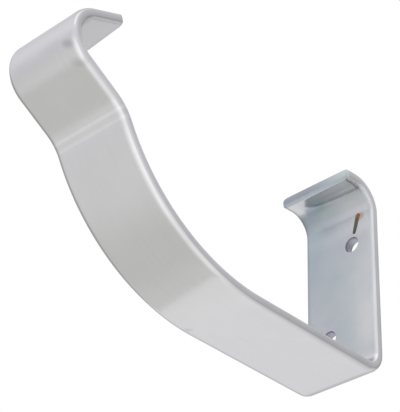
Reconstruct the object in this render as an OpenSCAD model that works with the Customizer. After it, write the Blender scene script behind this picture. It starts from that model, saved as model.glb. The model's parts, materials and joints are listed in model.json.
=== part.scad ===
// Ogee gutter bracket bent from one flat steel bar.
//
// The bar is followed like a path: every straight and bend draws its own stretch
// and puts what comes next at its end. It starts at the heel, where the sole meets
// the back plate, and runs both ways: forwards along the sole, up the ogee front and
// round the hook, and upwards along the back plate to the lip.
//
// Frame: X along the gutter, -Y towards the street, +Z up. The origin lies on the
// back face, on the bar's centre line, level with the upper fixing hole.

/* [Flat bar] */
// Width of the bar
bar_w = 25; // [20:0.5:40]
// Thickness of the bar
bar_t = 3.4; // [2.4:0.1:4]
// Radius of the bar's rolled long edges
bar_edge_r = 1; // [0.3:0.1:1.1]

/* [Sole and ogee front] */
// Back face to the start of the front's curve
sole_len = 51; // [35:0.5:90]
// Radius of the big curve, on the outside
curve_r = 57; // [30:0.5:80]
// Angle that the big curve climbs through
curve_angle = 61.5; // [50:0.5:72]
// Radius of the reverse bend, on the outside
reverse_r = 12.5; // [6:0.5:25]
// Angle of the reverse bend
reverse_angle = 31; // [20:0.5:38]
// Straight stretch between the reverse bend and the hook
bead_len = 11; // [4:0.5:25]

/* [Hook] */
// Radius of the hook's bend, on the outside
hook_r = 10.2; // [7:0.1:16]
// Angle of the hook's bend
hook_angle = 126; // [105:1:140]
// Straight leg behind the hook, on its centre line
hook_leg = 11.5; // [5:0.5:20]
// Angle by which the leg's end was cut out of square
hook_cut_angle = 7; // [0:0.5:12]

/* [Back plate and lip] */
// Underside of the sole to the top of the lip's bend
back_h = 63.4; // [55:0.2:90]
// Radius of the heel, on the outside
heel_r = 7; // [5:0.5:9]
// Radius of the lip's bend, on the inside
lip_r = 6; // [3:0.5:9]
// Angle of the lip's bend
lip_angle = 94; // [80:1:110]
// Straight end of the lip
lip_len = 3.7; // [1:0.1:12]

/* [Fixing holes] */
// Diameter of the fixing holes
hole_d = 4.8; // [3.5:0.1:6]
// Upper hole above the underside of the sole
upper_hole_h = 44.9; // [38:0.1:46]
// Upper hole to the side of the centre line
upper_hole_x = 4.9; // [0:0.1:6]
// Lower hole above the underside of the sole
lower_hole_h = 16.8; // [14:0.1:28]
// Lower hole to the side of the centre line
lower_hole_x = -4.1; // [-6:0.1:0]

/* [Score mark] */
// Bare metal between the upper hole and the score mark
score_gap = 0.9; // [0.3:0.1:1.2]
// Length of the score mark between the centres of its ends
score_len = 5.3; // [2:0.1:6]
// Width of the score mark at its lower end
score_low_w = 1.2; // [0.6:0.1:1.6]
// Width of the score mark at its upper end
score_top_w = 1.8; // [0.8:0.1:2.2]
// Depth of the score mark
score_depth = 1.2; // [0.3:0.1:2]
// Lean of the score mark from upright
score_lean = 16; // [0:1:20]

/* [Hidden] */
$fn = 96;
// What a cutter reaches past the surface that it opens
overcut = 1;
// How much fuller the bar is all round where it is bent, so that each bend takes in
// the ends of the straights beside it
bend_swell = 0.01;
// How far a straight runs on into a bend beside it
bend_lap = 0.1;
// Straight stretch between the big curve and the reverse bend
turn_len = 0.6;
// The bar's outside face lies at z = 0 along the path and its inside face at bar_t
plate_len = back_h - heel_r - lip_r - bar_t;
score_low_r = score_low_w / 2;
score_top_r = score_top_w / 2;

// The bar's section: width along x, thickness along y, all four edges rounded
module bar_section(swell = 0) {
    square([bar_w - 2 * bar_edge_r, bar_t + 2 * swell], center = true);
    square([bar_w + 2 * swell, bar_t - 2 * bar_edge_r], center = true);
    for (x = [-1, 1], y = [-1, 1])
        translate([x * (bar_w / 2 - bar_edge_r), y * (bar_t / 2 - bar_edge_r)])
            circle(r = bar_edge_r + swell, $fn = 32);
}

// A straight stretch along +Y, running on into the bends before and after it
module straight(len, lap_after = bend_lap) {
    translate([0, len + lap_after, bar_t / 2])
        rotate([90, 0, 0])
            linear_extrude(len + bend_lap + lap_after) bar_section();
    translate([0, len, 0]) children();
}

// A bend round an axis along X that lies r_axis above the outside face, or below it
// where r_axis is negative
module bend(r_axis, angle) {
    side = sign(r_axis);
    translate([0, 0, r_axis]) {
        rotate([0, side * 90, 0])
            rotate_extrude(angle = angle)
                translate([side * (r_axis - bar_t / 2), 0])
                    rotate(90) bar_section(bend_swell);
        rotate([side * angle, 0, 0]) translate([0, 0, -r_axis]) children();
    }
}

// The hook's last straight, with its end cut out of square
module hook_end() {
    slant = bar_w / 2 * tan(hook_cut_angle);
    difference() {
        straight(hook_leg + slant, 0);
        translate([0, hook_leg, bar_t / 2])
            rotate([0, 0, hook_cut_angle])
                translate([-bar_w, 0, -bar_t])
                    cube([2 * bar_w, 2 * slant + overcut, 2 * bar_t]);
    }
}

// From the heel forwards: sole, ogee front and hook
module front() {
    rotate([0, 0, 180])
        straight(sole_len - heel_r)
        bend(curve_r, curve_angle)
        straight(turn_len)
        bend(-reverse_r, reverse_angle)
        straight(bead_len)
        bend(hook_r, hook_angle)
        hook_end();
}

// From the heel upwards: heel bend, back plate and lip
module back() {
    bend(heel_r, 90)
    straight(plate_len)
    bend(lip_r + bar_t, lip_angle)
    straight(lip_len, 0);
}

// A drilled hole through the back plate
module fixing_hole(x, h) {
    translate([x, overcut, h])
        rotate([90, 0, 0])
            cylinder(d = hole_d, h = bar_t + 2 * overcut);
}

// A narrow blind groove above the upper hole, wider towards its top
module score_mark() {
    start = hole_d / 2 + score_gap + score_low_r;
    translate([upper_hole_x, score_depth - bar_t, upper_hole_h])
        rotate([90, score_lean, 0])
            linear_extrude(score_depth + overcut)
                translate([0, start]) {
                    circle(r = score_low_r);
                    translate([0, score_len]) circle(r = score_top_r);
                    polygon([
                        [-score_low_r, 0], [score_low_r, 0],
                        [score_top_r, score_len], [-score_top_r, score_len]
                    ]);
                }
}

module bent_strap() {
    color("lightsteelblue")
        translate([0, 0, -upper_hole_h])
            difference() {
                translate([0, -heel_r, 0]) {
                    front();
                    back();
                }
                fixing_hole(upper_hole_x, upper_hole_h);
                fixing_hole(lower_hole_x, lower_hole_h);
                score_mark();
            }
}

bent_strap();
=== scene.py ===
"""Ogee gutter bracket: the zinc-plated bar with its worked ends, holes, marks and finish.

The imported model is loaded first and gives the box, the holes and the back face. The
bar is then modelled again with fine, even faces on the same sizes, because its finish
follows the bar round every bend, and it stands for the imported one.
"""

import json
import math

import bmesh
import bpy
from mathutils import Matrix, Vector


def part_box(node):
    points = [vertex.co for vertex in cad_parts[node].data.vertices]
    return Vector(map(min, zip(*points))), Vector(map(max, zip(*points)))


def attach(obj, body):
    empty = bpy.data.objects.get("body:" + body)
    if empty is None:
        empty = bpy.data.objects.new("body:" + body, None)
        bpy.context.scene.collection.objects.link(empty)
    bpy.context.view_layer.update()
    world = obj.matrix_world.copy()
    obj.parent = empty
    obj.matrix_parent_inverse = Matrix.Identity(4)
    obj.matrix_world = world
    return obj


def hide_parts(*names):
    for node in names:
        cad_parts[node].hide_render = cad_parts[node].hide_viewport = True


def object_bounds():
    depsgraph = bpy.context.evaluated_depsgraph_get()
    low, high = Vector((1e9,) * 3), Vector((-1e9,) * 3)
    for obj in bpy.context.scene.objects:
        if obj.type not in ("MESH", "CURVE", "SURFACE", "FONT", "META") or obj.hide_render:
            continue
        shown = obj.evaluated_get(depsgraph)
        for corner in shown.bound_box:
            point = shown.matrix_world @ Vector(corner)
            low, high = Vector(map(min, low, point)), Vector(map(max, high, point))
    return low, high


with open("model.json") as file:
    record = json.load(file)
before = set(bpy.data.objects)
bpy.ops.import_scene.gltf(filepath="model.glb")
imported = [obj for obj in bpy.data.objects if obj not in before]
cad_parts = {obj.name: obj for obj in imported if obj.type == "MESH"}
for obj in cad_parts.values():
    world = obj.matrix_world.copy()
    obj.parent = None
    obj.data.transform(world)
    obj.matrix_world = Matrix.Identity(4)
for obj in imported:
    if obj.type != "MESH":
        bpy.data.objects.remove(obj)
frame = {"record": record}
CAD_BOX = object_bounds()
MIDDLE = (CAD_BOX[0] + CAD_BOX[1]) / 2
STRAP_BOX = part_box("bent_strap")
MOUNTS = {mount["name"]: mount for mount in frame["record"]["mounts"]}

bl_info = {
    "name": "Gutter Bracket",
    "version": (1, 0, 0),
    "blender": (4, 5, 0),
    "location": "View3D > Sidebar > Bracket",
    "description": "Models and finishes a bent, zinc-plated gutter bracket",
    "category": "Object",
}

MM = 0.001
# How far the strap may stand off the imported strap's box
BOX_TOLERANCE = 0.2 * MM
# The slice of the sole that the bar is drawn out from
SLICE_LENGTH = 1.0 * MM
# Narrow strip of flat beside each rounded edge, which keeps the flat's shading flat
EDGE_MARGIN = 0.15 * MM
# Width of the strips that the rest of the flat is split into
FLAT_STRIP = 2.6 * MM
# What a cutter reaches past the face that it opens
OVERCUT = 0.6 * MM
# How far a point may lie off a cut face and still belong to it
ON_FACE = 0.02 * MM
# Share of the thickness, from the outside, that a shear cuts clean before it tears
CLEAN_SHARE = 0.42
# Faces that meet at less than this are shaded as one smooth surface
SMOOTH_ANGLE = math.radians(34.0)
# How many times longer than wide the rolling streaks are
STREAK_STRETCH = 40.0
# Side of the square floor and its distance below the sole
FLOOR_SIDE = 3.0
FLOOR_GAP = 0.1 * MM
# Tints of the room's shade low on the street side, and of its light high up
WARM_SHADE = (1.0, 1.0, 0.97)
COOL_LIGHT = (0.985, 0.983, 1.02)


# ---------------------------------------------------------------- sizes and colours


def length(name, description, default):
    """A length, its default in millimetres."""
    return bpy.props.FloatProperty(
        name=name,
        description=description,
        default=default * MM,
        min=0.0,
        precision=5,
        subtype="DISTANCE",
        unit="LENGTH",
    )


def turn(name, description, default):
    """An angle, its default in degrees."""
    return bpy.props.FloatProperty(
        name=name,
        description=description,
        default=math.radians(default),
        subtype="ANGLE",
        unit="ROTATION",
    )


def share(name, description, default):
    """A strength or level from 0 to 1."""
    return bpy.props.FloatProperty(
        name=name,
        description=description,
        default=default,
        min=0.0,
        max=1.0,
        subtype="FACTOR",
    )


def tint(name, description, default):
    """A colour."""
    return bpy.props.FloatVectorProperty(
        name=name,
        description=description,
        default=default,
        size=3,
        min=0.0,
        max=1.0,
        subtype="COLOR",
    )


class BarSizes(bpy.types.PropertyGroup):
    """The flat bar and the stretches that it is bent into"""

    width: length("Width", "Width of the bar", 25.0)
    thickness: length("Thickness", "Thickness of the bar", 3.4)
    edge_radius: length("Edge radius", "Radius of the bar's rolled long edges", 1.0)
    sole: length("Sole", "Back face to the start of the front's curve", 51.0)
    curve_radius: length("Curve radius", "Radius of the big curve, outside", 57.0)
    curve_angle: turn("Curve angle", "Angle that the big curve climbs through", 61.5)
    turn_length: length("Turn", "Straight between the curve and the reverse bend", 0.6)
    reverse_radius: length("Reverse radius", "Radius of the reverse bend, outside", 12.5)
    reverse_angle: turn("Reverse angle", "Angle of the reverse bend", 31.0)
    bead: length("Bead", "Straight between the reverse bend and the hook", 11.0)
    hook_radius: length("Hook radius", "Radius of the hook's bend, outside", 10.2)
    hook_angle: turn("Hook angle", "Angle of the hook's bend", 126.0)
    hook_leg: length("Hook leg", "Straight leg behind the hook, on its middle", 11.5)
    hook_cut: turn("Hook cut", "Angle of the leg's end out of square", 7.0)
    back_height: length("Back height", "Underside of the sole to the lip's top", 63.4)
    heel_radius: length("Heel radius", "Radius of the heel, outside", 7.0)
    lip_radius: length("Lip radius", "Radius of the lip's bend, inside", 6.0)
    lip_angle: turn("Lip angle", "Angle of the lip's bend", 94.0)
    lip: length("Lip", "Straight end of the lip", 3.7)


class WorkedDetail(bpy.types.PropertyGroup):
    """What the rolling, cutting, punching and bending left on the bar"""

    edge_reach: length("Edge reach", "How far in each rolled edge falls away", 2.0)
    end_bevel: length("End bevel", "Worn edge of the two cut ends", 0.22)
    tear_depth: length("Tear depth", "How far the torn half of a cut end stands back", 0.16)
    hole_ease: length("Hole ease", "Eased edge of the fixing holes inside", 0.1)
    hole_burst: length("Hole burst", "Flare of the holes where the punch came out", 0.45)
    score_gap: length("Score gap", "Bare metal between upper hole and score mark", 0.9)
    score_length: length("Score length", "Length between the centres of its ends", 5.3)
    score_low_width: length("Score low width", "Width at its lower end", 1.2)
    score_top_width: length("Score top width", "Width at its upper end", 1.8)
    score_depth: length("Score depth", "Depth of the score mark", 1.2)
    score_lean: turn("Score lean", "Lean of the score mark from upright", 16.0)
    crease_depth: length("Crease depth", "Depth of the two lines that the press left", 0.03)
    crease_width: length("Crease width", "Half width of a press line", 0.45)
    crease_first: length("First crease", "Reverse bend's start to its first line", 1.1)
    crease_second: length("Second crease", "Reverse bend's start to its second line", 3.5)


class ZincFinish(bpy.types.PropertyGroup):
    """Colours and texture of the zinc plate"""

    zinc: tint("Zinc", "Bright zinc plate", (0.65, 0.65, 0.655))
    streak: share("Streak", "Strength of the rolling streaks along the bar", 0.025)
    cloud: share("Cloud", "Strength of the soft clouding", 0.035)
    roughness: share("Roughness", "Roughness of the outside face", 0.1)
    inside_roughness: share("Inside roughness", "Roughness of the inside face", 0.45)
    blue_film: tint("Blue film", "Bluish film on the plate and the lip", (0.55, 0.615, 0.70))
    teal_film: tint("Teal film", "Greener patches of that film", (0.52, 0.63, 0.675))
    sheared: tint("Sheared", "Clean half of the lip's cut end", (0.85, 0.95, 0.92))
    clean_left_tone: tint("Stained", "Darker left part of that half", (0.515, 0.545, 0.6))
    torn: tint("Torn", "Torn half of the lip's cut end", (0.68, 0.77, 0.82))
    # Painted shade that darkens the walls of the fixing holes
    bore_shade: tint("Bore", "Thin plating inside the fixing holes", (0.6, 0.6, 0.69))
    smudge: tint("Smudge", "Dark rub marks near the hook", (0.6, 0.6, 0.62))
    # Dark oxide that also paints the shade in the score mark's hollow
    oxide_and_shade: tint("Oxide", "Dark oxide in the score mark", (0.26, 0.27, 0.24))
    rust: tint("Rust", "Rust at the upper end of the score mark", (0.56, 0.30, 0.17))


class StudioSettings(bpy.types.PropertyGroup):
    """Camera, background and lamps"""

    azimuth: turn("Azimuth", "Camera's turn round the bracket, 0 from the street", 44.65)
    elevation: turn("Elevation", "Camera's height as an angle, below zero", -34.11)
    roll: turn("Roll", "Camera's lean", 2.0)
    distance: length("Distance", "Camera to the bracket's middle", 429.7)
    aim_offset: bpy.props.FloatVectorProperty(
        name="Aim offset",
        description="Aim point from the middle of the bracket's box",
        default=(-0.00079, -0.00042, -0.00038),
        size=3,
        subtype="TRANSLATION",
        unit="LENGTH",
    )
    lens: bpy.props.FloatProperty(
        name="Lens",
        description="Focal length on a 36 mm sensor",
        default=140.96,
        subtype="DISTANCE_CAMERA",
        unit="CAMERA",
    )
    background: share("Background", "Level of the white behind the bracket", 1.0)
    fill: share("Fill", "Level of the even light all round", 0.9)
    lamp_size: length("Lamp size", "Side of the square soft lamp", 500.0)
    lamp_distance: length("Lamp distance", "Lamp to the bracket's middle", 700.0)
    lamp_power: bpy.props.FloatProperty(
        name="Lamp power", description="Power of the soft lamp", default=0.3, unit="POWER"
    )


# ---------------------------------------------------------------- the bar's path


class Stretch:
    """One straight or bend of the bar, seen from the side.

    start is the point on the outside face where it begins and heading the angle of
    the bar there. inward is 1 or -1, the side on which the inside face lies. An axis
    of zero is a straight of length extent. Otherwise it is a bend through the angle
    extent, round an axis that lies that far inward of the outside face.
    """

    def __init__(self, start, heading, inward, axis, extent, step, along):
        self.start = start
        self.heading = heading
        self.inward = inward
        self.axis = axis
        self.extent = extent
        self.step = step
        self.along = along

    def way(self, angle):
        """The unit vector along the bar at a heading."""
        return Vector((0.0, math.cos(angle), math.sin(angle)))

    def side(self, angle):
        """The unit vector from the outside face to the inside face at a heading."""
        return Vector((0.0, -math.sin(angle), math.cos(angle))) * self.inward

    @property
    def bent_inward(self):
        return math.copysign(1.0, self.axis)

    @property
    def centre(self):
        return self.start + self.side(self.heading) * self.axis

    @property
    def turned(self):
        """How far the heading turns over the bend."""
        return self.inward * self.bent_inward * self.extent

    def end(self):
        """Returns the outside point and the heading at the far end."""
        if not self.axis:
            return self.start + self.way(self.heading) * self.extent, self.heading
        heading = self.heading + self.turned
        return self.centre - self.side(heading) * self.axis, heading

    def middle_length(self, thickness):
        """The length along the middle of the bar's thickness."""
        if not self.axis:
            return self.extent
        return abs(self.axis - thickness / 2) * self.extent

    def locate(self, point, thickness):
        """Returns how far along the bar's middle a point lies, its depth from the
        outside face, the bar's heading there and how far it lies off this stretch."""
        if not self.axis:
            offset = point - self.start
            run = offset.dot(self.way(self.heading))
            depth = offset.dot(self.side(self.heading))
            off = max(0.0, -run, run - self.extent)
            return self.along + run, depth, self.heading, off
        arm = point - self.centre
        arm.x = 0.0
        first = -self.side(self.heading) * self.bent_inward
        ahead = self.way(self.heading)
        angle = math.atan2(arm.dot(ahead), arm.dot(first))
        depth = self.axis - self.bent_inward * arm.length
        middle = abs(self.axis - thickness / 2)
        off = max(0.0, -angle, angle - self.extent) * middle
        heading = self.heading + self.inward * self.bent_inward * angle
        return self.along + angle * middle, depth, heading, off


def lay(start, heading, inward, parts, thickness):
    """Lays straights and bends end to end. Each part is (axis, extent, step)."""
    stretches = []
    along = 0.0
    for axis, extent, step in parts:
        stretch = Stretch(start, heading, inward, axis, extent, step * MM, along)
        stretches.append(stretch)
        start, heading = stretch.end()
        along += stretch.middle_length(thickness)
    return stretches


class BarPath:
    """The whole bar: front runs from the heel forwards and back from it upwards."""

    def __init__(self, bar):
        self.bar = bar
        underside = MOUNTS["sole_seat"]["pos_m"][2] - bar.thickness
        back_face = MOUNTS["back_face"]["pos_m"][1]
        heel = Vector((0.0, back_face - bar.heel_radius, underside))
        slant = bar.width / 2 * math.tan(bar.hook_cut)
        # The leg has no rings across it where its end is cut askew
        askew = 2 * slant + 0.7 * MM
        plate = bar.back_height - bar.heel_radius - bar.lip_radius - bar.thickness
        front = [
            (0.0, bar.sole - bar.heel_radius, 1.0),
            (bar.curve_radius, bar.curve_angle, 0.8),
            (0.0, bar.turn_length, 0.2),
            (-bar.reverse_radius, bar.reverse_angle, 0.12),
            (0.0, bar.bead, 0.8),
            (bar.hook_radius, bar.hook_angle, 0.45),
            (0.0, bar.hook_leg + slant - askew, 0.8),
            (0.0, askew, 10.0),
        ]
        back = [
            (bar.heel_radius, math.pi / 2, 0.4),
            (0.0, plate, 1.0),
            (bar.lip_radius + bar.thickness, bar.lip_angle, 0.45),
            (0.0, bar.lip, 0.5),
        ]
        self.front = lay(heel, math.pi, -1.0, front, bar.thickness)
        self.back = lay(heel, 0.0, 1.0, back, bar.thickness)
        self.reverse = self.front[3]
        self.leg = self.front[6]
        self.lip = self.back[3]

    def hole(self, name):
        """Returns a fixing hole's place across and along the bar and its radius, in
        millimetres."""
        mount = MOUNTS[name]
        centre = Vector(mount["pos_m"])
        along = self.locate(centre)[0]
        return centre.x / MM, along / MM, mount["dims"]["r_mm"]

    def locate(self, point):
        """Returns a point's place along the bar, its depth from the outside face and
        the stretch and heading there. Along is negative from the heel upwards."""
        best = None
        thickness = self.bar.thickness
        for sign, stretches in ((1.0, self.front), (-1.0, self.back)):
            for stretch in stretches:
                along, depth, heading, off = stretch.locate(point, thickness)
                off += max(0.0, -depth, depth - thickness)
                if best is None or off < best[0]:
                    best = (off, sign * along, depth, stretch, heading)
        return best[1:]


# ---------------------------------------------------------------- modelling helpers


def deselect_all():
    """Leaves edit mode and selects no object."""
    if bpy.context.mode != "OBJECT":
        bpy.ops.object.mode_set(mode="OBJECT")
    bpy.ops.object.select_all(action="DESELECT")


def pick(obj):
    """Makes a piece the active one and the only one selected."""
    deselect_all()
    bpy.context.view_layer.objects.active = obj
    obj.select_set(True)


def edit(obj, mode):
    """Goes into edit mode on a piece, with VERT, EDGE or FACE selection."""
    pick(obj)
    bpy.ops.object.mode_set(mode="EDIT")
    bpy.ops.mesh.select_mode(type=mode)


def select(obj, kind, wanted):
    """Selects the faces, edges or verts of a piece that meet a test, in edit mode."""
    mesh = bmesh.from_edit_mesh(obj.data)
    elements = getattr(mesh, kind)
    for element in elements:
        element.select_set(False)
    for element in elements:
        if wanted(element):
            element.select_set(True)
    mesh.select_flush_mode()
    bmesh.update_edit_mesh(obj.data)


def extrude(offset):
    """Draws the selection out by an offset."""
    bpy.ops.mesh.extrude_region_move(
        TRANSFORM_OT_translate={"value": offset, "orient_type": "GLOBAL"}
    )


def grow(stretch, done=0.0):
    """Extrudes or spins the selected end of the bar through one stretch. done is the
    length of a straight that is there already."""
    if not stretch.axis:
        run = stretch.extent - done
        steps = max(1, round(run / stretch.step))
        offset = stretch.way(stretch.heading) * (run / steps)
        for _ in range(steps):
            extrude(offset)
        return
    steps = max(2, round(abs(stretch.axis) * stretch.extent / stretch.step))
    # In background mode spin turns against the right-hand rule
    bpy.ops.mesh.spin(
        steps=steps, angle=-stretch.turned, center=stretch.centre, axis=(1.0, 0.0, 0.0)
    )


def cut_out(obj, cutter):
    """Takes a cutter's solid out of a piece and removes the cutter."""
    pick(obj)
    modifier = obj.modifiers.new("cut", "BOOLEAN")
    modifier.operation = "DIFFERENCE"
    modifier.solver = "EXACT"
    modifier.object = cutter
    bpy.ops.object.modifier_apply(modifier=modifier.name)
    mesh = cutter.data
    bpy.data.objects.remove(cutter)
    bpy.data.meshes.remove(mesh)


def settle(obj):
    """Puts an object's place, turn and scale into its mesh."""
    pick(obj)
    bpy.ops.object.transform_apply(location=True, rotation=True, scale=True)


# ---------------------------------------------------------------- the strap


class BRACKET_OT_strap(bpy.types.Operator):
    """Draw the bar out of one slice, bend it, cut it and drill it"""

    bl_idname = "bracket.strap"
    bl_label = "Bent Strap"
    bl_options = {"REGISTER", "UNDO"}

    def execute(self, context):
        bar = context.scene.bracket_bar
        detail = context.scene.bracket_detail
        path = BarPath(bar)
        strap = self.sole_slice(path, detail)
        heel = path.front[0].start.y
        self.draw_out(strap, heel - SLICE_LENGTH, path.front, SLICE_LENGTH)
        self.draw_out(strap, heel, path.back)
        self.cut_leg(strap, path)
        self.shear_end(strap, path, path.leg, bar.hook_cut, detail)
        self.shear_end(strap, path, path.lip, 0.0, detail)
        bpy.ops.object.mode_set(mode="OBJECT")
        for name in ("upper_screw_hole", "lower_screw_hole"):
            cut_out(strap, self.drill(MOUNTS[name], bar, detail))
        cut_out(strap, self.score_tool(MOUNTS["upper_screw_hole"], bar, detail))
        self.put_in_order(strap)
        self.press_lines(strap, path, detail)
        self.lay_out(strap, path)
        self.check_form(strap)
        pick(strap)
        bpy.ops.object.shade_smooth_by_angle(angle=SMOOTH_ANGLE)
        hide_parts("bent_strap")
        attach(strap, "root")
        return {"FINISHED"}

    def sole_slice(self, path, detail):
        """A thin slice of the bar at the heel end of the sole, the flats split
        lengthwise. Each rolled edge is a quarter of an oval: a round one, widened."""
        bar = path.bar
        oval = detail.edge_reach / bar.edge_radius
        deselect_all()
        heel = path.front[0].start
        bpy.ops.mesh.primitive_cube_add(
            size=1.0,
            location=heel + Vector((0.0, -SLICE_LENGTH / 2, bar.thickness / 2)),
            scale=(bar.width / oval, SLICE_LENGTH, bar.thickness),
        )
        strap = bpy.context.object
        strap.name = "zinc_plated_strap"
        settle(strap)
        edit(strap, "EDGE")
        select(strap, "edges", lambda edge: edge.calc_length() < 1.01 * SLICE_LENGTH)
        bpy.ops.mesh.bevel(offset=bar.edge_radius, segments=8, affect="EDGES")
        bpy.ops.mesh.select_all(action="SELECT")
        bpy.ops.transform.resize(value=(oval, 1.0, 1.0), center_override=(0.0, 0.0, 0.0))
        flat_half = bar.width / 2 - detail.edge_reach
        splits = [-flat_half + EDGE_MARGIN, flat_half - EDGE_MARGIN]
        splits += [count * FLAT_STRIP for count in range(-3, 4)]
        for x in splits:
            bpy.ops.mesh.select_all(action="SELECT")
            bpy.ops.mesh.bisect(plane_co=(x, 0.0, 0.0), plane_no=(1.0, 0.0, 0.0))
        return strap

    def draw_out(self, strap, end, stretches, done=0.0):
        """Follows the path from the end of the slice that lies at a given y."""
        bpy.ops.mesh.select_mode(type="FACE")

        def at_end(face):
            off = abs(face.calc_center_median().y - end)
            return off < ON_FACE / 2 and abs(face.normal.y) > 0.9

        select(strap, "faces", at_end)
        for stretch in stretches:
            grow(stretch, done)
            done = 0.0

    def cut_leg(self, strap, path):
        """Cuts the hook's leg out of square, shorter on the +X side."""
        bar, leg = path.bar, path.leg
        way = leg.way(leg.heading)
        side = leg.side(leg.heading)
        end = leg.start + way * bar.hook_leg
        normal = way * math.cos(bar.hook_cut)
        normal.x = math.sin(bar.hook_cut)
        slack = 0.1 * MM

        def on_leg(face):
            centre = face.calc_center_median()
            depth = (centre - leg.start).dot(side)
            far_on = (centre - leg.start).dot(way) > bar.hook_leg / 2
            near = (centre - end).length < bar.width
            return near and far_on and -slack < depth < bar.thickness + slack

        select(strap, "faces", on_leg)
        bpy.ops.mesh.bisect(
            plane_co=end, plane_no=normal, use_fill=True, clear_outer=True
        )

    def shear_end(self, strap, path, stretch, skew, detail):
        """Gives a cut end its torn half, set back from the clean half, and eases the
        edge round it."""
        bar = path.bar
        way = stretch.way(stretch.heading)
        side = stretch.side(stretch.heading)
        out = way * math.cos(skew)
        out.x = math.sin(skew)
        tip = stretch.start + way * (bar.hook_leg if skew else stretch.extent)
        clean = bar.thickness * CLEAN_SHARE

        def on_end(point):
            near = (point - tip).length < bar.width
            return near and abs((point - tip).dot(out)) < ON_FACE

        def end_face(face):
            return face.normal.dot(out) > 0.99 and on_end(face.calc_center_median())

        bpy.ops.mesh.select_mode(type="FACE")
        select(strap, "faces", end_face)
        bpy.ops.mesh.bisect(plane_co=stretch.start + side * clean, plane_no=side)
        mesh = bmesh.from_edit_mesh(strap.data)
        for vert in mesh.verts:
            if on_end(vert.co):
                depth = (vert.co - stretch.start).dot(side)
                torn = max(0.0, depth - clean) / (bar.thickness - clean)
                vert.co -= way * detail.tear_depth * torn
        bmesh.update_edit_mesh(strap.data)
        bpy.ops.mesh.select_mode(type="EDGE")
        mesh = bmesh.from_edit_mesh(strap.data)
        mesh.normal_update()

        def rim(edge):
            if len(edge.link_faces) != 2:
                return False
            facing = [face.normal.dot(out) > 0.9 for face in edge.link_faces]
            close = all(
                (vert.co - tip).length < bar.width
                and -2.5 * detail.tear_depth < (vert.co - tip).dot(out) < ON_FACE
                for vert in edge.verts
            )
            return close and facing[0] != facing[1]

        select(strap, "edges", rim)
        bpy.ops.mesh.bevel(offset=detail.end_bevel, segments=3, affect="EDGES")

    def drill(self, mount, bar, detail):
        """A cutter for one fixing hole, flared where it leaves both faces."""
        centre = Vector(mount["pos_m"])
        radius = mount["dims"]["r_mm"] * MM
        # The holes were punched from the inside face, so they flare more at the back
        front, rear = -1.0, 1.0
        eases = {front: detail.hole_ease, rear: detail.hole_burst}
        deselect_all()
        bpy.ops.mesh.primitive_cylinder_add(
            vertices=72,
            radius=radius,
            depth=bar.thickness - sum(eases.values()),
            location=centre + Vector((0.0, (eases[front] - eases[rear]) / 2, 0.0)),
            rotation=(math.pi / 2, 0.0, 0.0),
        )
        tool = bpy.context.object
        settle(tool)
        edit(tool, "FACE")
        flare = [math.radians(angle) for angle in (22.0, 44.0)]
        for facing, ease in eases.items():
            select(tool, "faces", lambda face: face.normal.y * facing > 0.9)
            reach, wide = 0.0, radius
            for angle in flare:
                step = ease * math.sin(angle) - reach
                reach += step
                new_wide = radius + ease * (1.0 - math.cos(angle))
                self.flare_out(centre, facing * step, new_wide / wide)
                wide = new_wide
            step = ease - reach + OVERCUT
            wider = wide + step * math.tan(flare[-1])
            self.flare_out(centre, facing * step, wider / wide)
        bpy.ops.object.mode_set(mode="OBJECT")
        return tool

    def flare_out(self, centre, step, ratio):
        """Carries a cutter's selected end on by one step and widens it."""
        extrude((0.0, step, 0.0))
        bpy.ops.transform.resize(value=(ratio, 1.0, ratio), center_override=centre)

    def score_tool(self, hole, bar, detail):
        """A cutter for the score mark: a tapered outline with round ends, narrowing a
        little towards its floor."""
        low = detail.score_low_width / 2
        top = detail.score_top_width / 2
        hole_radius = hole["dims"]["r_mm"] * MM
        start = hole_radius + detail.score_gap + low
        deselect_all()
        bpy.ops.mesh.primitive_circle_add(
            vertices=48, radius=low, fill_type="NGON", location=(0.0, 0.0, 0.0)
        )
        tool = bpy.context.object
        edit(tool, "VERT")
        # The circle's upper half is widened and moved up to be the mark's upper end
        select(tool, "verts", lambda vert: vert.co.y > 1e-7)
        bpy.ops.transform.resize(value=(top / low,) * 3, center_override=(0.0, 0.0, 0.0))
        bpy.ops.transform.translate(value=(0.0, detail.score_length, 0.0))
        bpy.ops.mesh.select_mode(type="FACE")
        bpy.ops.mesh.select_all(action="SELECT")
        middle = (0.0, detail.score_length / 2, 0.0)
        rim, foot = 0.3 * MM, 0.2 * MM
        steps = [(OVERCUT, 1.0), (rim, 0.96)]
        steps += [(detail.score_depth - rim - foot, 0.94), (foot, 0.80)]
        for depth, narrowing in steps:
            extrude((0.0, 0.0, -depth))
            bpy.ops.transform.resize(
                value=(narrowing, 1.0 - 0.15 * (1.0 - narrowing), 1.0),
                center_override=middle,
            )
        bpy.ops.mesh.select_all(action="SELECT")
        bpy.ops.mesh.normals_make_consistent(inside=False)
        bpy.ops.object.mode_set(mode="OBJECT")
        # The outline was drawn lying down, its floor along -Z: stand it up against the
        # plate's inside face, floor towards the back face, and lean it over
        hole_place = Vector(hole["pos_m"])
        inside = Vector((hole_place.x, hole_place.y - bar.thickness / 2, hole_place.z))
        lean = Matrix.Rotation(detail.score_lean, 4, "Y")
        stand = Matrix.Rotation(math.pi / 2, 4, "X")
        outset = Matrix.Translation((0.0, start, OVERCUT))
        tool.matrix_world = Matrix.Translation(inside) @ lean @ stand @ outset
        settle(tool)
        return tool

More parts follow.
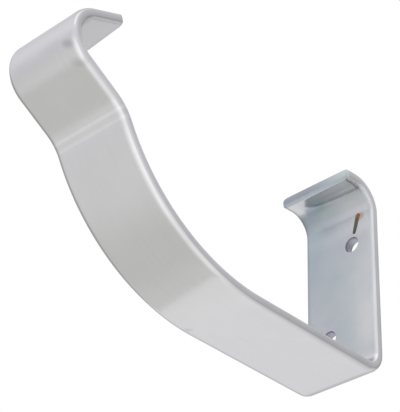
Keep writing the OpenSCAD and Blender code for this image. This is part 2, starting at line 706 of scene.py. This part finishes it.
    def put_in_order(self, strap):
        """Numbers the points by their place and starts each face at its lowest one.
        The modelling tools number them differently on each run, and a wide face would
        then be split, and so shaded, in another way."""
        mesh = strap.data
        places = [tuple(vert.co) for vert in mesh.vertices]
        order = sorted(range(len(places)), key=places.__getitem__)
        number = {old: new for new, old in enumerate(order)}
        faces = []
        for polygon in mesh.polygons:
            corners = [number[index] for index in polygon.vertices]
            first = corners.index(min(corners))
            faces.append(corners[first:] + corners[:first])
        ordered = bpy.data.meshes.new(mesh.name)
        ordered.from_pydata([places[index] for index in order], [], sorted(faces))
        strap.data = ordered
        bpy.data.meshes.remove(mesh)

    def press_lines(self, strap, path, detail):
        """Presses the two shallow lines across the outside of the reverse bend."""
        reverse = path.reverse
        middle = 1.0 + path.bar.thickness / 2 / path.bar.reverse_radius
        for vert in strap.data.vertices:
            along, depth, stretch, heading = path.locate(vert.co)
            if stretch is not reverse or depth > path.bar.edge_radius:
                continue
            from_start = (along - reverse.along) / middle
            press = 0.0
            for line in (detail.crease_first, detail.crease_second):
                press += math.exp(-(((from_start - line) / detail.crease_width) ** 2))
            edge_fade = 1.0 - depth / path.bar.edge_radius
            vert.co += reverse.side(heading) * detail.crease_depth * press * edge_fade

    def lay_out(self, strap, path):
        """Stores each point's place on the straightened bar: across, along, depth."""
        places = []
        for vert in strap.data.vertices:
            along, depth = path.locate(vert.co)[:2]
            places += [vert.co.x, along, depth]
        attribute = strap.data.attributes.new("bar_place", "FLOAT_VECTOR", "POINT")
        attribute.data.foreach_set("vector", places)

    def check_form(self, strap):
        """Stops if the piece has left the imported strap's box."""
        corners = [Vector(corner) for corner in strap.bound_box]
        low = Vector([min(corner[i] for corner in corners) for i in range(3)])
        high = Vector([max(corner[i] for corner in corners) for i in range(3)])
        for mine, packed in ((low, STRAP_BOX[0]), (high, STRAP_BOX[1])):
            if max(abs(gap) for gap in mine - packed) > BOX_TOLERANCE:
                raise RuntimeError(f"the strap left its box: {mine} against {packed}")


# ---------------------------------------------------------------- shader maths


class Wire:
    """An output socket that adds Math nodes when it is used in an expression."""

    def __init__(self, nodes, socket):
        self.nodes = nodes
        self.socket = socket

    def math(self, operation, *others):
        settings = {"operation": operation}
        return self.nodes.add("ShaderNodeMath", settings, [self, *others])

    def __add__(self, other):
        return self.math("ADD", other)

    def __radd__(self, other):
        return self.math("ADD", other)

    def __sub__(self, other):
        return self.math("SUBTRACT", other)

    def __rsub__(self, other):
        settings = {"operation": "SUBTRACT"}
        return self.nodes.add("ShaderNodeMath", settings, [other, self])

    def __mul__(self, other):
        return self.math("MULTIPLY", other)

    def __rmul__(self, other):
        return self.math("MULTIPLY", other)

    def larger(self, other):
        """The larger of the two."""
        return self.math("MAXIMUM", other)

    def size(self):
        """The value without its sign."""
        return self.math("ABSOLUTE")

    def distance(self, other):
        """The straight distance over this offset and another one square to it."""
        return (self * self + other * other).math("SQRT")

    def dot(self, vector):
        settings = {"operation": "DOT_PRODUCT"}
        return self.nodes.add("ShaderNodeVectorMath", settings, [self, vector], "Value")

    def rises(self, start, end):
        """0 below start, 1 above end and a smooth step between them. With start above
        end it falls instead."""
        settings = {"interpolation_type": "SMOOTHSTEP"}
        if start < end:
            levels = {"From Min": start, "From Max": end}
        else:
            levels = {"From Min": end, "From Max": start, "To Min": 1.0, "To Max": 0.0}
        return self.nodes.add("ShaderNodeMapRange", settings, {"Value": self, **levels})


class Nodes:
    """Adds nodes to a material's or a world's tree."""

    def __init__(self, tree):
        self.tree = tree
        tree.nodes.clear()

    def feed(self, socket, value):
        if isinstance(value, Wire):
            self.tree.links.new(value.socket, socket)
        elif hasattr(socket.default_value, "__len__") and len(value) == 3:
            room = len(socket.default_value)
            socket.default_value = (*value, 1.0)[:room]
        else:
            socket.default_value = value

    def add(self, kind, settings=None, inputs=None, output=0):
        """Adds a node, sets it, feeds its inputs and returns one of its outputs."""
        node = self.tree.nodes.new(kind)
        for name, value in (settings or {}).items():
            setattr(node, name, value)
        inputs = inputs or {}
        pairs = inputs.items() if isinstance(inputs, dict) else enumerate(inputs)
        for name, value in pairs:
            self.feed(node.inputs[name], value)
        return Wire(self, node.outputs[output]) if node.outputs else None

    def mix(self, factor, first, second, blend="MIX"):
        """Mixes two colours."""
        node = self.tree.nodes.new("ShaderNodeMix")
        node.data_type = "RGBA"
        node.blend_type = blend
        # Each kind of mix has sockets of these names, so the colour ones go by number
        for index, value in ((0, factor), (6, first), (7, second)):
            self.feed(node.inputs[index], value)
        return Wire(self, node.outputs[2])

    def scaled(self, vector, factor):
        settings = {"operation": "SCALE"}
        levels = {"Vector": vector, "Scale": factor}
        return self.add("ShaderNodeVectorMath", settings, levels, "Vector")

    def split(self, vector):
        node = self.tree.nodes.new("ShaderNodeSeparateXYZ")
        self.feed(node.inputs[0], vector)
        return [Wire(self, output) for output in node.outputs]

    def join(self, x, y, z):
        return self.add("ShaderNodeCombineXYZ", None, [x, y, z])

    def noise(self, vector, scale, detail=2.0, roughness=0.5):
        levels = {"Vector": vector, "Scale": scale, "Detail": detail}
        levels["Roughness"] = roughness
        return self.add("ShaderNodeTexNoise", None, levels, "Fac")


# ---------------------------------------------------------------- the zinc finish


class BRACKET_OT_finish(bpy.types.Operator):
    """Give the strap its zinc plate, rolling streaks and marks"""

    bl_idname = "bracket.finish"
    bl_label = "Zinc Finish"
    bl_options = {"REGISTER", "UNDO"}

    def execute(self, context):
        scene = context.scene
        strap = bpy.data.objects["zinc_plated_strap"]
        path = BarPath(scene.bracket_bar)
        material = self.zinc(path, scene.bracket_finish, scene.bracket_detail)
        strap.data.materials.clear()
        strap.data.materials.append(material)
        return {"FINISHED"}

    def zinc(self, path, finish, detail):
        """Zinc plate that follows the bar: every mark is placed on the straightened
        bar, in millimetres across it, along it and down from its outside face.

        Along is 0 at the heel. Forwards, the curve starts at 44, the reverse bend at
        104 and the leg at 141, and the hook's bend lies between 123 and 141. Upwards
        along is negative: the plate starts at -8, the lip's bend at -55 and its
        straight end at -68.
        """
        material = bpy.data.materials.new("bright_zinc_plate")
        material.use_nodes = True
        nodes = Nodes(material.node_tree)
        stored = nodes.add(
            "ShaderNodeAttribute", {"attribute_name": "bar_place"}, None, "Vector"
        )
        place = nodes.scaled(stored, 1.0 / MM)
        across, along, depth = nodes.split(place)
        # Rolling drew the streaks out along the bar
        streak_place = nodes.join(across, along * (1.0 / STREAK_STRETCH), depth)
        streaks = nodes.noise(streak_place, 0.9, 3.0, 0.6) - 0.5
        clouds = nodes.noise(place, 0.09, 3.0, 0.55) - 0.5
        grain = nodes.noise(place, 2.6, 2.0, 0.5) - 0.5
        thickness = path.bar.thickness / MM
        inside = depth.rises(thickness - 0.9, thickness - 0.1)

        level = 1.0 + streaks * finish.streak * 2.0 + clouds * finish.cloud * 2.0
        wear = clouds * 0.12 + streaks * 0.1
        # Uneven wear lightens the rolled edges, and painted shade greys them in places
        level = level + self.worn_and_shaded_edges(path, across, along, inside, wear)
        # Painted highlights along the press lines of the reverse bend
        level = level + self.painted_press_highlights(path, detail, along, streaks)
        # Painted highlight on the inside where the lip's bend starts, stronger to the right
        painted_bend_highlight = inside * along.rises(-60.0, -56.0) * along.rises(-47.0, -53.0)
        painted_bend_highlight = painted_bend_highlight * across.rises(12.2, 10.5)
        level = level + painted_bend_highlight * (0.08 + across.rises(-9.0, 3.0) * 0.2)
        colour = nodes.mix(1.0, finish.zinc, nodes.join(level, level, level), "MULTIPLY")
        film_and_bend_shade = self.film_and_bend_shade(path, across, along, inside, clouds)
        patches = nodes.noise(place, 0.11, 2.0, 0.5).rises(0.44, 0.56)
        film_colour = nodes.mix(patches, finish.blue_film, finish.teal_film)
        # Bluish film, with painted shade where the lip bends
        colour = nodes.mix(film_and_bend_shade, colour, film_colour, "MULTIPLY")
        rubbed = self.rub_marks(across, along, inside, clouds, grain)
        colour = nodes.mix(rubbed, colour, finish.smudge, "MULTIPLY")
        ended, end_colour = self.cut_end(nodes, path, finish, place, streaks)
        colour = nodes.mix(ended, colour, end_colour, "MULTIPLY")
        # Painted shade on the walls of the fixing holes, which are also rougher
        shaded_bore_walls = self.shaded_bores(path, across, along, depth)
        colour = nodes.mix(shaded_bore_walls, colour, finish.bore_shade, "MULTIPLY")
        oxide_and_shade, rust = self.score(path, detail, across, along, depth, grain)
        # The score mark: dark oxide, also standing in for the shade of its hollow, then rust
        colour = nodes.mix(oxide_and_shade, colour, finish.oxide_and_shade)
        colour = nodes.mix(rust, colour, finish.rust)

        # The lip's underside stayed nearly as smooth as the outside face
        matt = inside * (1.0 - along.rises(-60.0, -66.0) * 0.76)
        rough = finish.roughness + matt * (finish.inside_roughness - finish.roughness)
        rough = rough + streaks * 0.06 + grain * 0.05 + shaded_bore_walls * 0.25 + rubbed * 0.2
        corroded = oxide_and_shade.larger(rust)
        rough = rough + corroded * 0.6
        height = grain + streaks + corroded * grain * 6.0
        levels = {"Strength": 0.12, "Distance": 0.02 * MM, "Height": height}
        bump = nodes.add("ShaderNodeBump", None, levels)
        shader = nodes.add(
            "ShaderNodeBsdfPrincipled",
            None,
            {
                "Base Color": colour,
                "Metallic": 1.0 - corroded * 0.9,
                "Roughness": rough,
                "Specular Tint": (0.72, 0.72, 0.73, 1.0),
                "Normal": bump,
            },
        )
        nodes.add("ShaderNodeOutputMaterial", None, {"Surface": shader})
        return material

    def worn_and_shaded_edges(self, path, across, along, inside, wear):
        """Rolled edges and sides: worn bright unevenly, with painted shade that greys them
        beside the sole, at the reverse bend, from the hook on, and inside the plate and the
        lip."""
        half = path.bar.width / 2 / MM
        edge = across.size().rises(half - 1.9, half - 0.5)
        # Painted shade: greyer edges and sides beside the sole, at the reverse bend, from
        # the hook on, inside from the heel up and at the lip
        painted_shade = along.rises(60.0, 25.0) * along.rises(-4.0, 0.0) * 0.1
        painted_shade = painted_shade + along.rises(98.0, 105.0) * along.rises(112.0, 108.0) * 0.07
        painted_shade = painted_shade + along.rises(126.0, 134.0) * (1.0 - inside * 0.7) * 0.18
        painted_shade = painted_shade + inside * along.rises(-1.0, -6.0) * 0.12
        painted_shade = painted_shade + along.rises(-63.0, -67.0) * (0.06 + inside * 0.16)
        return edge * (wear + 0.03 - painted_shade)

    def painted_press_highlights(self, path, detail, along, streaks):
        """The two press lines across the reverse bend as painted highlights, a fainter wide
        painted highlight round the second, and a painted shade line between them."""
        bar, start = path.bar, path.reverse.along / MM
        # Lengths on the outside face grow by this on the bar's middle
        grows = 1.0 + bar.thickness / 2 / bar.reverse_radius
        first, second = [
            start + line * grows / MM
            for line in (detail.crease_first, detail.crease_second)
        ]
        # Painted highlights on the two press lines, and painted shade between them
        painted_highlight = (along - first).size().rises(0.8, 0.15) * 0.06
        painted_highlight = painted_highlight + (along - second).size().rises(0.8, 0.15) * 0.09
        painted_highlight = painted_highlight + (along - second).size().rises(6.0, 1.0) * 0.045
        painted_shade = (along - (first + second) / 2).size().rises(0.7, 0.1) * 0.03
        return (painted_highlight - painted_shade) * (1.0 + streaks * 0.8)

    def film_and_bend_shade(self, path, across, along, inside, clouds):
        """Bluish film inside the plate and the lip: thicker to the left and high up, thin on
        the right below the middle and on the lip, and nearly none on the lip's left end.
        Where the lip bends it adds painted shade as well."""
        top = (path.lip.along + path.lip.extent) / MM
        spread = 0.28 + across.rises(10.0, -5.0) * 0.34
        spread = spread + across.rises(-3.0, -11.0) * along.rises(-20.0, -55.0) * 0.2
        low_right = across.rises(3.0, 11.0) * along.rises(-38.0, -22.0)
        low_right = low_right * along.rises(-8.0, -15.0)
        painted_bend_shade = along.rises(-57.0, -63.0) * along.rises(-69.0, -66.0)
        corner = along.rises(-62.5, -64.5) * along.rises(-67.2, -66.0)
        corner = corner * across.rises(0.0, -4.0) * across.rises(-9.5, -7.5)
        on_lip = along.rises(-63.5, -66.5) * (0.36 + across.rises(6.0, -2.0) * 0.12)
        on_lip = on_lip * (1.0 - corner) - corner * 0.35
        spread = spread - low_right * 0.22 + clouds * 0.6 - on_lip
        # Painted shade: the film darkened further where the lip bends, more to the left
        spread = spread + painted_bend_shade * (0.04 + across.rises(6.0, -4.0) * 0.2)
        bare = along.rises(-62.0, -67.0) * across.rises(-7.0, -10.0) * 0.85
        reach = along.rises(-5.0, -11.0) * along.rises(-top - 0.3, -top + 0.5)
        edge = across.size().rises(12.7, 11.7)
        return spread * (1.0 - bare) * reach * edge * inside

    def rub_marks(self, across, along, inside, clouds, grain):
        """Rub marks outside: two by the hook's right edge, one by the left edge where
        the sole ends, and a smear across the hook."""
        # Each spot's place across and along, its radius and its strength
        spots = [
            (9.6, 127.7, 1.6, 0.55),
            (10.3, 123.0, 1.9, 0.3),
            (-10.3, 46.9, 1.3, 0.3),
        ]
        marks = 0.0
        for spot_across, spot_along, radius, strength in spots:
            wide = (across - spot_across) * 0.6
            run = along - spot_along + wide * 0.5
            off = wide.distance(run) + grain * 0.8
            marks = marks + off.rises(radius, 0.2) * strength
        smear_at = along - across * 0.1 + clouds * 4.0
        smear = smear_at.rises(123.5, 127.0) * smear_at.rises(130.5, 127.5)
        outside = 1.0 - inside
        return (marks + smear * 0.13) * outside

    def cut_end(self, nodes, path, finish, place, streaks):
        """Returns where the lip's cut end lies, and its colour: the shear's clean
        half, darker to the left, and its torn half."""
        across, along, depth = nodes.split(place)
        lip_end = (path.lip.along + path.lip.extent) / MM
        on_end = along.rises(-lip_end + 0.3, -lip_end + 0.08)
        clean = nodes.mix(across.rises(14.0, -4.0), finish.sheared, finish.clean_left_tone)
        torn = (depth + streaks * 0.8).rises(1.7, 2.7)
        return on_end, nodes.mix(torn, clean, finish.torn)

    def shaded_bores(self, path, across, along, depth):
        """Where the painted shade goes: the walls of the two fixing holes, short of the
        bar's two faces.
        """
        walls = 0.0
        for name in ("upper_screw_hole", "lower_screw_hole"):
            hole_across, hole_along, radius = path.hole(name)
            off = (across - hole_across).distance(along - hole_along)
            walls = walls + off.rises(radius + 0.35, radius + 0.15)
        thickness = path.bar.thickness / MM
        between = depth.rises(0.02, 0.3) * depth.rises(thickness - 0.02, thickness - 0.3)
        return walls * between

    def score(self, path, detail, across, along, depth, grain):
        """Oxide in the score mark, also painting its hollow's shade, rust at its upper end
        and a stain beside that.
        """
        hole_across, hole_along, radius = path.hole("upper_screw_hole")
        right = across - hole_across
        up = hole_along - along
        lean_across, lean_up = math.sin(detail.score_lean), math.cos(detail.score_lean)
        off = right * lean_up - up * lean_across
        run = right * lean_across + up * lean_up + grain * 0.5
        start = radius + detail.score_gap / MM
        end = start + (detail.score_low_width / 2 + detail.score_length) / MM
        top = detail.score_top_width / 2 / MM
        thickness = path.bar.thickness / MM
        beside = off.size().rises(top + 0.6, top + 0.35)
        beyond = run.rises(start - 0.25, start - 0.05) * run.rises(end + 1.5, end + 1.2)
        floor = thickness - detail.score_depth / MM
        sunk = depth.rises(thickness - 0.01, thickness - 0.1)
        groove = beside * beyond * sunk * depth.rises(floor - 0.3, floor - 0.1)
        # Near the groove's upper end its walls have rusted, with a stain on the face
        rusty = groove * (run + off * 1.5).rises(end - 1.6, end - 0.4)
        stain = (off - top * 1.1).distance(run - (end - 0.1))
        stain = stain.rises(1.9, 0.6) * depth.rises(thickness - 0.4, thickness) * 0.6
        return groove - rusty, rusty.larger(stain)


# ---------------------------------------------------------------- the stage


class BRACKET_OT_stage(bpy.types.Operator):
    """Set up the floor, the soft light, the background and the camera"""

    bl_idname = "bracket.stage"
    bl_label = "Studio Stage"
    bl_options = {"REGISTER", "UNDO"}

    def execute(self, context):
        studio = context.scene.bracket_studio
        context.scene.view_settings.view_transform = "Standard"
        self.camera(context.scene, studio)
        self.world(context.scene, studio)
        self.lamp(context.scene, studio)
        self.floor()
        return {"FINISHED"}

    def camera(self, scene, studio):
        """Looks up at the bracket from the street side, right and below."""
        aim = MIDDLE + Vector(studio.aim_offset)
        level = math.cos(studio.elevation)
        back = Vector(
            (
                math.sin(studio.azimuth) * level,
                -math.cos(studio.azimuth) * level,
                math.sin(studio.elevation),
            )
        )
        data = bpy.data.cameras.new("camera")
        data.lens = studio.lens
        data.sensor_width = 36.0
        data.clip_start = 0.01
        camera = bpy.data.objects.new("camera", data)
        scene.collection.objects.link(camera)
        camera.location = aim + back * studio.distance
        camera.rotation_mode = "QUATERNION"
        level_view = (-back).to_track_quat("-Z", "Y")
        lean = Matrix.Rotation(studio.roll, 4, "Z").to_quaternion()
        camera.rotation_quaternion = level_view @ lean
        scene.camera = camera

    def world(self, scene, studio):
        """White behind the bracket, and a pale room that its metal reflects."""
        world = bpy.data.worlds.new("studio")
        world.use_nodes = True
        scene.world = world
        nodes = Nodes(world.node_tree)
        camera, glossy, transmission = [
            nodes.add("ShaderNodeLightPath", None, None, f"Is {kind} Ray")
            for kind in ("Camera", "Glossy", "Transmission")
        ]
        direction = nodes.add("ShaderNodeTexCoord", None, None, "Generated")
        white = (studio.background,) * 3
        seen = nodes.mix(camera, self.room(nodes, direction), white)
        shown = camera.larger(glossy).larger(transmission)
        colour = nodes.mix(shown, (studio.fill,) * 3, seen)
        background = nodes.add("ShaderNodeBackground", None, {"Color": colour})
        nodes.add("ShaderNodeOutputWorld", None, {"Surface": background})

    def room(self, nodes, direction):
        """The white surroundings as the metal sees them, with their soft shades. A
        direction's x runs along the gutter, its y towards the house and its z up."""
        x, y, z = nodes.split(direction)
        # The house side, which reaches a little nearer to the right of its far left
        wall = (y + x.rises(-0.64, -0.58) * 0.1).rises(0.31, 0.355)
        # A bright bench low down on the house side
        bench = wall * (0.65 + y.rises(0.25, 0.6) * 0.35)
        bench = bench * z.rises(0.0, -0.4) * x.rises(0.5, -0.4)
        # The street side, dim low down to the left
        street = y.rises(-0.68, -0.2) * (1.0 - wall) * (1.0 - y.rises(-0.05, 0.2) * 0.45)
        dip = street * z.rises(-0.1, -0.7) * x.rises(0.1, -0.3)
        # More light from higher up
        above = z.rises(-0.2, 0.9)
        sky = z.rises(0.2, 0.85)
        # A window to the right, brightest low down and towards the street
        right = x.rises(-0.6, 0.3) * x.rises(1.1, 0.7) * y.rises(0.5, 0.0)
        right = right * (0.3 + 0.7 * z.rises(0.4, -0.3)) * (0.5 + 0.5 * y.rises(-0.3, -0.6))
        # Darker: the corner behind on the right, straight behind, and the far left
        corner = y.rises(0.3, 0.6) * x.rises(0.1, 0.6) * z.rises(-1.0, 0.0)
        behind = direction.dot((0.15, 0.93, 0.33)).rises(0.88, 0.99)
        left = x.rises(-0.8, -0.98)
        level = 0.86 + bench * 0.17 - dip * 0.13 + above * 0.07 + sky * 0.15 + right * 0.42
        level = level - corner * 0.3 - behind * 0.3 - left * 0.35
        grey = nodes.join(level, level, level)
        colour = nodes.mix(dip, grey, WARM_SHADE, "MULTIPLY")
        cool = z.rises(-0.35, 0.2).larger(y.rises(0.35, 1.0))
        return nodes.mix(cool, colour, COOL_LIGHT, "MULTIPLY")

    def lamp(self, scene, studio):
        """One large soft lamp above, to the right and towards the street."""
        toward = Vector((0.35, -0.35, 0.87)).normalized()
        data = bpy.data.lights.new("soft_box", "AREA")
        data.shape = "SQUARE"
        data.size = studio.lamp_size
        data.energy = studio.lamp_power
        lamp = bpy.data.objects.new("soft_box", data)
        scene.collection.objects.link(lamp)
        lamp.location = MIDDLE + toward * studio.lamp_distance
        lamp.rotation_mode = "QUATERNION"
        lamp.rotation_quaternion = (-toward).to_track_quat("-Z", "Y")
        lamp.visible_camera = False

    def floor(self):
        """A pale floor under the sole. It shows only from above, so that it never
        hides the bracket from a camera below it, and it holds no light back."""
        deselect_all()
        under = MIDDLE.copy()
        under.z = CAD_BOX[0].z - FLOOR_GAP
        bpy.ops.mesh.primitive_plane_add(size=FLOOR_SIDE, location=under)
        floor = bpy.context.object
        floor.name = "floor"
        material = bpy.data.materials.new("pale_floor")
        material.use_nodes = True
        nodes = Nodes(material.node_tree)
        camera_ray = nodes.add("ShaderNodeLightPath", None, None, "Is Camera Ray")
        behind = nodes.add("ShaderNodeNewGeometry", None, None, "Backfacing")
        matt = nodes.add("ShaderNodeBsdfDiffuse", None, {"Color": (0.9, 0.9, 0.9)})
        clear = nodes.add("ShaderNodeBsdfTransparent")
        surface = nodes.add(
            "ShaderNodeMixShader", None, [camera_ray * (1.0 - behind), clear, matt]
        )
        nodes.add("ShaderNodeOutputMaterial", None, {"Surface": surface})
        floor.data.materials.append(material)


# ---------------------------------------------------------------- sidebar and run


class BRACKET_PT_panel(bpy.types.Panel):
    """Lists the bracket's sizes, colours and steps"""

    bl_idname = "BRACKET_PT_panel"
    bl_label = "Gutter Bracket"
    bl_space_type = "VIEW_3D"
    bl_region_type = "UI"
    bl_category = "Bracket"

    def draw(self, context):
        layout = self.layout
        for group_name, _ in GROUPS:
            group = getattr(context.scene, group_name)
            box = layout.box()
            box.label(text=group.bl_rna.description)
            for name in group.bl_rna.properties.keys():
                if name not in ("rna_type", "name"):
                    box.prop(group, name)
        for step in STEPS:
            layout.operator(step.bl_idname)


GROUPS = [
    ("bracket_bar", BarSizes),
    ("bracket_detail", WorkedDetail),
    ("bracket_finish", ZincFinish),
    ("bracket_studio", StudioSettings),
]
STEPS = [BRACKET_OT_strap, BRACKET_OT_finish, BRACKET_OT_stage]


def register():
    for name, group in GROUPS:
        bpy.utils.register_class(group)
        setattr(bpy.types.Scene, name, bpy.props.PointerProperty(type=group))
    for step in STEPS:
        bpy.utils.register_class(step)
    bpy.utils.register_class(BRACKET_PT_panel)


def unregister():
    bpy.utils.unregister_class(BRACKET_PT_panel)
    for step in reversed(STEPS):
        bpy.utils.unregister_class(step)
    for name, group in reversed(GROUPS):
        delattr(bpy.types.Scene, name)
        bpy.utils.unregister_class(group)


def main():
    register()
    bpy.ops.bracket.strap()
    bpy.ops.bracket.finish()
    bpy.ops.bracket.stage()
    deselect_all()


if __name__ == "__main__":
    main()
